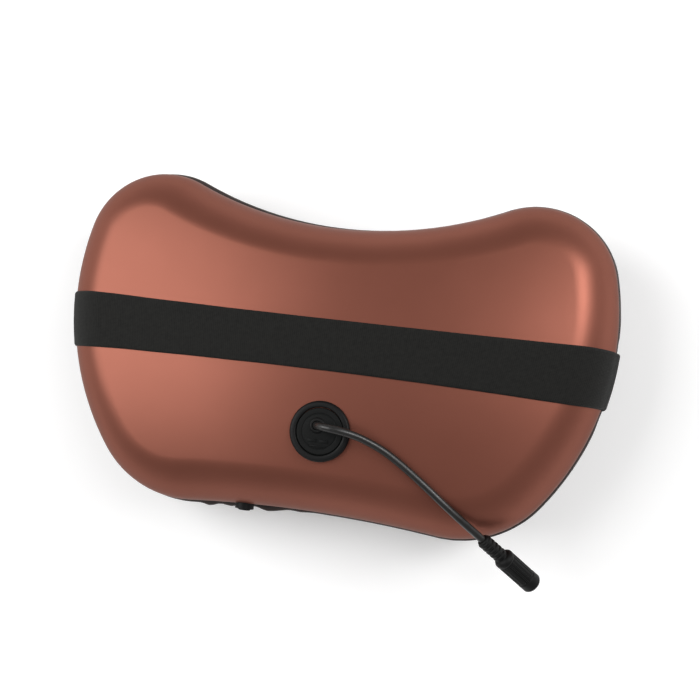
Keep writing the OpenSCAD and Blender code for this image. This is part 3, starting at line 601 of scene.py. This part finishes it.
# ---- seam piping ----
def make_piping():
    """The dark bead round the seam, with a few gathers where the cover's hem bunches at the lower left."""
    path = outline(BEAD_R)
    outer = outline(0)
    # where each gather is along x, how far it stands out and its half width
    gathers = [(-63, 1.6, 4.0), (-50, 1.2, 4.5), (-28, 2.1, 5.5), (-21, 0.9, 5.0), (-8, 0.6, 4.0)]
    side = 14
    points = []
    count = len(path)
    for i in range(count):
        (x, y), (ox, oy) = path[i], outer[i]
        nx, ny = (ox - x) / BEAD_R, (oy - y) / BEAD_R
        swell = sum(h * math.exp(-((x - gx) / w) ** 2) for gx, h, w in gathers) if y < 0 else 0
        wave = 0.05 * noise.noise(Vector((x * 0.25, y * 0.25, 0)))
        # the bead stands out a little, but not where it passes under the strap
        clear = min(1, max(0, abs(y - STRAP_Y) - STRAP_W / 2 - 3) / 12)
        lift = (0.5 + 0.8 * max(0, ny)) * clear * clear * (3 - 2 * clear)
        for k in range(side):
            a = math.radians(360 * k / side)
            out = BEAD_R * math.cos(a) * (1 + wave)
            up = BEAD_R * math.sin(a) * (1 + wave)
            if out > 0:
                out += (swell + lift) * math.cos(a)
            points.append((x + nx * out, y + ny * out, SEAM_Z - 0.4 + up))
    faces = ring_faces(count, side, wrap=True)
    piping = outward(mesh_object("piping_bead", points, faces, [PIPING]))
    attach(piping, "housing")
    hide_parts("seam_piping")


make_piping()


# ---- elastic strap ----
def strap_point(k, y, h):
    """A point of the strap h above the surface: k is 0 at the sewn end, 1 on the crown, 2 at the middle."""
    bend_r = HALF_W - WALL_IN - SHOULDER_W
    side_top = SEAM_Z - 4

    def side_x(rho):
        return math.sqrt(rho * rho - (y - SIDE_Y) ** 2)

    if k < 0.2:
        z = STRAP_END_Z + (side_top - STRAP_END_Z) * k / 0.2
        return side_x(HALF_W - 0.9 * ((side_top - z) / 9) ** 2 + h), z
    if k < 0.3:
        return side_x(HALF_W + 0.1 + h), side_top + 6 * (k - 0.2) / 0.1
    if k <= 1:
        a = math.radians(90 * (k - 0.3) / 0.7)
        x = side_x(bend_r + SHOULDER_W * math.cos(a))
        rise = crown(x, y) - WALL_Z
        nx, nz = rise * math.cos(a), SHOULDER_W * math.sin(a)
        q = math.hypot(nx, nz)
        lift = h + max(0, 1.4 * (1 - math.degrees(a) / 14))
        return (side_x(bend_r + SHOULDER_W * math.cos(a) + lift * nx / q),
                WALL_Z + rise * math.sin(a) + lift * nz / q)
    x = side_x(bend_r) * (2 - k)
    return x, crown(x, y) + h


def strap_half(x):
    """Half the strap's width, which is smallest at the middle."""
    return (STRAP_MID_W + (STRAP_W - STRAP_MID_W) * min(abs(x) / 140, 1) ** 2) / 2


def make_strap():
    """The band as rows of points across it: a flat under side and a top side with rolled edges and ribs."""
    lanes = [-1, -0.985, -0.95, -0.9] + [-0.8 + 0.1 * i for i in range(17)] + [0.9, 0.95, 0.985, 1]
    half_ks = [i / 60 * 0.3 for i in range(60)] + [0.3 + i / 120 * 0.7 for i in range(120)]
    half_ks += [1 + i / 240 for i in range(240)]
    stations = [(k, -1) for k in half_ks] + [(2, 1)] + [(k, 1) for k in half_ks[::-1]]
    points, uv = [], []
    travelled, before = 0.0, None
    for k, side in stations:
        x0, z0 = strap_point(k, STRAP_Y, 0)
        here = Vector((side * x0, 0, z0))
        travelled += (here - before).length if before is not None else 0
        before = here
        rib = 0.045 * math.sin(2 * math.pi * travelled / 1.3)
        waver = 0.25 * noise.noise(Vector((side * x0 * 0.03, 7.0, 0)))
        row_low, row_top = [], []
        for v in lanes:
            y = STRAP_Y + waver + v * strap_half(x0)
            roll = 1 - max(0, (abs(v) - 0.9) / 0.1) ** 2 * 0.55
            selvedge = 0.10 if 0.88 < abs(v) < 0.97 else 0
            px, pz = strap_point(k, y, STRAP_GAP)
            row_low.append((side * px, y, pz))
            px, pz = strap_point(k, y, STRAP_GAP + (STRAP_T - 0.15 + rib) * roll + selvedge)
            row_top.append((side * px, y, pz))
        points += row_low + row_top[::-1]
        widths = [STRAP_Y + v * STRAP_W / 2 for v in lanes]
        uv += [(travelled * MM, w * MM) for w in widths + widths[::-1]]
    count = 2 * len(lanes)
    faces = ring_faces(len(stations), count)
    faces.append(tuple(range(count)))
    faces.append(tuple((len(stations) - 1) * count + i for i in range(count)))
    strap = outward(mesh_object("elastic_band", points, faces, [ELASTIC], uv=uv))
    sharp_edges(strap, 70)
    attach(strap, "housing")
    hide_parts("strap")

    # a box of stitches with one diagonal at each end, as places along the strap and across it
    low, high, edge = 0.015, 0.14, 0.86
    corners = [(low, -edge), (high, -edge), (high, edge), (low, edge), (low, -edge), (high, edge)]
    box_line = []
    for (k0, v0), (k1, v1), steps in zip(corners, corners[1:], (8, 16, 8, 16, 16)):
        box_line += [(k0 + (k1 - k0) * t / steps, v0 + (v1 - v0) * t / steps) for t in range(steps + 1)]
    for side in (-1, 1):
        line, normals = [], []
        for k, v in box_line:
            y = STRAP_Y + v * STRAP_W / 2
            px, pz = strap_point(k, y, STRAP_GAP + STRAP_T - 0.1)
            line.append((side * px, y, pz))
            normals.append(Vector((side * px, (y - SIDE_Y) * 0.9, 0)).normalized())
        row = stitch_row("strap_stitches", line, normals, STRAP_THREAD, 2.9, 2.1, 0.25, closed=False)
        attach(row, "housing")


make_strap()


# ---- cord cap ----
def make_cap():
    """The cord cap: a rolled ring, a disc set in it, a collar round the lead and three raised marks."""
    ring = lathe("cap_ring", rounded([
        (12.4, CAP_SEAT), (CAP_R, CAP_SEAT), (CAP_R, CAP_TOP - 1.1), (CAP_R - 0.9, CAP_TOP - 0.1),
        (CAP_R - 2.4, CAP_TOP), (13.3, CAP_TOP - 0.15), (12.95, CAP_TOP - 0.6), (12.95, CAP_SEAT + 1)
    ], 0.4), BLACK, at=(CAP_X, CAP_Y, 0), count=128)
    disc = lathe("cap_disc", rounded([
        (0.2, CAP_SEAT + 0.5), (12.75, CAP_SEAT + 0.5), (12.75, CAP_TOP - 1.0), (12.3, CAP_TOP - 0.72),
        (9.9, CAP_TOP - 0.70), (9.7, CAP_TOP - 0.95), (9.3, CAP_TOP - 0.95), (9.1, CAP_TOP - 0.70),
        (0.2, CAP_TOP - 0.62)
    ], 0.2, 3), BLACK_DISC, at=(CAP_X, CAP_Y, 0), count=128)
    collar = lathe("cap_collar", rounded([
        (2.25, CAP_TOP - 1.6), (4.6, CAP_TOP - 1.6), (4.4, CAP_TOP - 0.5), (3.6, CAP_TOP + 0.25),
        (2.5, CAP_TOP + 0.25), (2.25, CAP_TOP - 0.2), (2.25, CAP_TOP - 1.5)
    ], 0.25), BLACK, at=(HOLE_X, HOLE_Y, 0), count=64)
    pieces = [ring, disc, collar]
    points, faces = [], []
    for cx, cy, w, d in ((-3.4, -5.2, 4.6, 1.7), (3.0, -5.2, 4.6, 1.7), (-0.2, -8.0, 8.4, 0.9)):
        base = len(points)
        for z, shrink in ((CAP_TOP - 1.0, 0), (CAP_TOP - 0.35, 0), (CAP_TOP - 0.2, 0.18)):
            for sx, sy in ((-1, -1), (1, -1), (1, 1), (-1, 1)):
                points.append((CAP_X + cx + sx * (w / 2 - shrink), CAP_Y + cy + sy * (d / 2 - shrink), z))
        faces += [(base + 3, base + 2, base + 1, base), (base + 8, base + 9, base + 10, base + 11)]
        for k in (0, 4):
            faces += [(base + k + i, base + k + (i + 1) % 4, base + k + 4 + (i + 1) % 4, base + k + 4 + i)
                      for i in range(4)]
    pieces.append(outward(mesh_object("cap_latches", points, faces, [BLACK_DISC], smooth=False)))
    for piece in pieces:
        sharp_edges(piece, 50)
        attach(piece, "housing")
    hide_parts("cord_cap")


make_cap()


# ---- front cover ----
def bulge(x, y):
    """How far a kneading dome stands out of the flat face at a point of the plan."""
    total = 0.0
    for side in (-1, 1):
        rho = math.hypot(x - side * HEAD_X, y - HEAD_Y)
        if rho < ORBIT_R:
            h = FACE_Z - 0.9 * (1 - (rho / ORBIT_R) ** 2) ** 2
        else:
            t = min(1, (rho - ORBIT_R) / 27.5)
            h = FACE_Z * (1 - t * t * (3 - 2 * t)) ** 0.9
        total = max(total, h) if total < 0.01 or h < 0.01 else (total ** 6 + h ** 6) ** (1 / 6)
    return min(total, FACE_Z)


def drape(x, y):
    """Small folds where the fabric is drawn over the domes' feet, between them and off the seam."""
    fold = 0.0
    for side in (-1, 1):
        dx, dy = x - side * HEAD_X, y - HEAD_Y
        rho, phi = math.hypot(dx, dy), math.atan2(dy, dx)
        wander = 1.6 * noise.noise(Vector((dx * 0.03, dy * 0.03, 3.0 + side)))
        fold += 0.42 * math.cos(13 * phi + 3 * wander) * math.exp(-((rho - 57) / 8) ** 2)
    lean = noise.noise(Vector((x * 0.04, y * 0.05, 9.0)))
    fold += 0.55 * math.sin(y / 3.6 + 2.5 * lean) * math.exp(-(x / 12) ** 2)
    fold += 0.55 * noise.noise(Vector((x * 0.035, y * 0.035, 1.0)))
    fold += 0.22 * noise.noise(Vector((x * 0.11, y * 0.11, 5.0)))
    return fold


def pucker(i, depth):
    """The cloth's in and out beside a seam, i steps round the outline, dying away with depth in mm."""
    wave = 0.6 * math.sin(i * 1.9) + 0.8 * noise.noise(Vector((i * 0.21, 2.0, 0)))
    return 0.28 * wave * math.exp(-(depth / 3.5) ** 2)


def make_front_cover():
    """The padded cover: a border and, inside the seam, a mesh panel, each ring tagged with its material."""
    seam_s = 1 - SEAM_RING / FACE_RINGS
    rings, tags = [], []

    def add(tag, ring):
        rings.append(ring)
        tags.append(tag)

    def skin(t, rolls, crowns):
        """The side, the roll and the face, t inside the outer surface, from the rim to near the middle."""
        for z in (39, 38, 37, 36):
            add(0, [(x, y, z) for x, y in outline(WALL_IN + t)])
        for k in range(rolls + 1):
            a = math.radians(90 * k / rolls)
            inset = WALL_IN + t + (COVER_ROLL_W - t) * (1 - math.cos(a))
            z = COVER_ROLL_Z - (COVER_ROLL_Z - FACE_Z - t) * math.sin(a)
            fade = math.sin(a) ** 8
            add(0, [(x, y, z - (bulge(x, y) + drape(x, y)) * fade) for x, y in outline(inset)])
        edge = outline(WALL_IN + COVER_ROLL_W)
        for k in range(1, crowns):
            s = 1 - k / crowns
            ring = []
            for i, (x, y) in enumerate(edge):
                out = bulge(s * x, s * y)
                high = max(0, 1 - out / (FACE_Z - 1.2))
                depth = abs(s - seam_s) * 110
                fold = drape(s * x, s * y) * high + pucker(i, depth)
                groove = 0.5 * math.exp(-(depth / 1.1) ** 2)
                ring.append((s * x, s * y, FACE_Z + t - out - fold + groove))
            add(1 if s < seam_s else 0, ring)

    skin(0, 36, FACE_RINGS)
    rings.reverse()
    tags.reverse()
    face_rings = rings[:FACE_RINGS - 1]
    add(0, [(x, y, RIM_Z - 0.35) for x, y in outline(WALL_IN)])
    add(0, [(x, y, RIM_Z) for x, y in outline(WALL_IN + 0.35)])
    add(0, [(x, y, RIM_Z) for x, y in outline(WALL_IN + FLANGE_W)])
    add(0, [(x, y, RIM_Z - 1.2) for x, y in outline(WALL_IN + FLANGE_W)])
    add(0, [(x, y, RIM_Z - 1.2) for x, y in outline(WALL_IN + COVER_T)])
    skin(COVER_T, 18, 48)
    count = len(rings[0])
    points = [p for ring in rings for p in ring]
    points += [(0, 0, FACE_Z - bulge(0, 0)), (0, 0, FACE_Z + COVER_T - bulge(0, 0))]
    faces = ring_faces(len(rings), count)
    last = (len(rings) - 1) * count
    faces += [((i + 1) % count, i, len(points) - 2) for i in range(count)]
    faces += [(last + i, last + (i + 1) % count, len(points) - 1) for i in range(count)]
    cover = mesh_object("cover_fabric", points, faces, [BORDER, MESH])
    for polygon in cover.data.polygons:
        ring = min(min(polygon.vertices) // count, len(tags) - 1)
        polygon.material_index = tags[ring]
    outward(cover)
    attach(cover, "housing")
    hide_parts("front_cover")

    # the welt between the border and the mesh panel, and a row of stitches on each side of it
    normals = [v.normal.copy() for v in cover.data.vertices]

    def row_at(s):
        k = min(range(len(face_rings)), key=lambda r: abs((r + 1) / FACE_RINGS - s))
        return rings[k], normals[k * count:(k + 1) * count]

    line, ups = row_at(seam_s)
    side, welt_r = 10, 0.8
    tube = []
    for (x, y, z), n, after in zip(line, ups, line[1:] + line[:1]):
        along = (Vector(after) - Vector((x, y, z))).normalized()
        across = along.cross(n).normalized()
        for j in range(side):
            a = 2 * math.pi * j / side
            out = n * (0.25 + welt_r * math.sin(a)) + across * welt_r * math.cos(a)
            tube.append(tuple(Vector((x, y, z)) + out))
    welt = outward(mesh_object("cover_welt", tube, ring_faces(count, side, wrap=True), [PIPING]))
    pieces = [welt]
    for s in (seam_s + 0.03, seam_s - 0.03):
        line, ups = row_at(s)
        pieces.append(stitch_row("cover_stitches", line, ups, THREAD))
    hem = outline(WALL_IN)
    hem_ups = []
    for (x, y), (ox, oy) in zip(hem, outline(0)):
        hem_ups.append(Vector((ox - x, oy - y, 0)).normalized())
    pieces.append(stitch_row("hem_stitches", [(x, y, 37.2) for x, y in hem], hem_ups, THREAD))
    for piece in pieces:
        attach(piece, "housing")


make_front_cover()


# ---- foam pad ----
def make_foam():
    """The foam under the cover: soft rounded edges, slightly uneven, a little smaller than its space."""
    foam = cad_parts["foam_pad"].copy()
    foam.data = foam.data.copy()
    foam.name = foam.data.name = "foam_cushion"
    foam.hide_render = False
    bpy.context.collection.objects.link(foam)
    remesh = foam.modifiers.new("remesh", "REMESH")
    remesh.mode, remesh.voxel_size = "VOXEL", 2.2 * MM
    smooth = foam.modifiers.new("smooth", "SMOOTH")
    smooth.factor, smooth.iterations = 0.5, 10
    bpy.context.view_layer.update()
    result = bpy.data.meshes.new_from_object(foam.evaluated_get(bpy.context.evaluated_depsgraph_get()))
    foam.modifiers.clear()
    foam.data = result
    for vertex in result.vertices:
        inward = 0.25 + 0.25 * noise.noise(vertex.co * 60)
        vertex.co -= vertex.normal * inward * MM
    result.materials.clear()
    result.materials.append(FOAM)
    result.shade_smooth()
    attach(foam, "housing")
    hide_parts("foam_pad")


make_foam()


# ---- materials of the kept CAD nodes ----
NODE_MATERIALS = {
    STEEL: ["case_screws", "gearbox_screws", "clamp_screws", "board_screws", "motor_can", "motor_clamp",
            "motor_shaft", "worm", "left_output_shaft", "right_output_shaft", "left_carrier_screw",
            "right_carrier_screw", "left_ball_pins", "right_ball_pins"],
    NATURAL: ["front_frame", "gearbox_base", "gearbox_cover"],
    ACETAL: ["left_worm_wheel", "right_worm_wheel"],
    SINTERED: ["worm_bushes", "lower_shaft_bushes", "upper_shaft_bushes"],
    BLACK: ["motor_end_cap", "tact_switch", "power_button", "button_bezel", "cord_nut"],
    DARK_NYLON: ["left_carrier", "right_carrier"],
    BALL_PLASTIC: ["left_outer_ball", "left_inner_ball", "right_inner_ball", "right_outer_ball"],
    BOARD: ["control_board"],
    JACKET: ["inner_lead"],
    RED_WIRE: ["motor_lead"],
    NICKEL: ["connector_contact", "connector_pin"],
}
for material, names in NODE_MATERIALS.items():
    for name in names:
        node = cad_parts[name]
        node.data.materials.clear()
        node.data.materials.append(material)


# ---- floor, light ----
def make_floor():
    """A wide pale floor, round, so that its far edge is a level line from every side."""
    material, tree, shader = new_material("floor")
    tree.links.new(ramp(tree, noise_at(tree, object_coords(tree), 3, 2),
                        [(0.3, (0.93, 0.93, 0.93)), (0.7, (0.95, 0.95, 0.95))]), shader.inputs["Base Color"])
    shader.inputs["Roughness"].default_value = 0.9
    shader.inputs["Emission Color"].default_value = (1, 1, 1, 1)
    shader.inputs["Emission Strength"].default_value = 0.18
    count = 128
    points = [(r * math.cos(2 * math.pi * i / count), r * math.sin(2 * math.pi * i / count), -0.1)
              for r in (1, 2000, 60000) for i in range(count)]
    faces = ring_faces(3, count) + [tuple(range(count))]
    mesh_object("floor", points, faces, [material], smooth=False)


def area_light(name, place, aim, size, power):
    data = bpy.data.lights.new(name, "AREA")
    data.shape = "RECTANGLE"
    data.size, data.size_y = size
    data.energy = power
    light = bpy.data.objects.new(name, data)
    bpy.context.collection.objects.link(light)
    light.location = place
    light.rotation_euler = (Vector(aim) - Vector(place)).to_track_quat("-Z", "Y").to_euler()


def make_light():
    """A big soft light from the left, two smaller ones from the right, and a room palest low down."""
    world = bpy.data.worlds.new("studio")
    world.use_nodes = True
    tree = world.node_tree
    coords = tree.nodes.new("ShaderNodeTexCoord")
    parts = tree.nodes.new("ShaderNodeSeparateXYZ")
    tree.links.new(coords.outputs["Generated"], parts.inputs["Vector"])
    room = ramp(tree, parts.outputs["Z"], [(0.0, (0.66,)), (0.1, (0.5,)), (0.45, (0.25,))])
    tree.links.new(room, tree.nodes["Background"].inputs["Color"])
    bpy.context.scene.world = world
    area_light("key", (-0.93, 0.13, 0.97), (-0.05, 0.0, 0.06), (1.0, 1.2), 14)
    area_light("side", (0.72, 0.24, 1.0), (0.1, 0.02, 0.06), (0.42, 0.8), 4.2)
    area_light("rim", (0.98, 0.55, 0.84), (0.13, 0.05, 0.06), (0.4, 0.5), 5.5)


make_floor()
make_light()
bpy.context.scene.view_settings.view_transform = "Standard"
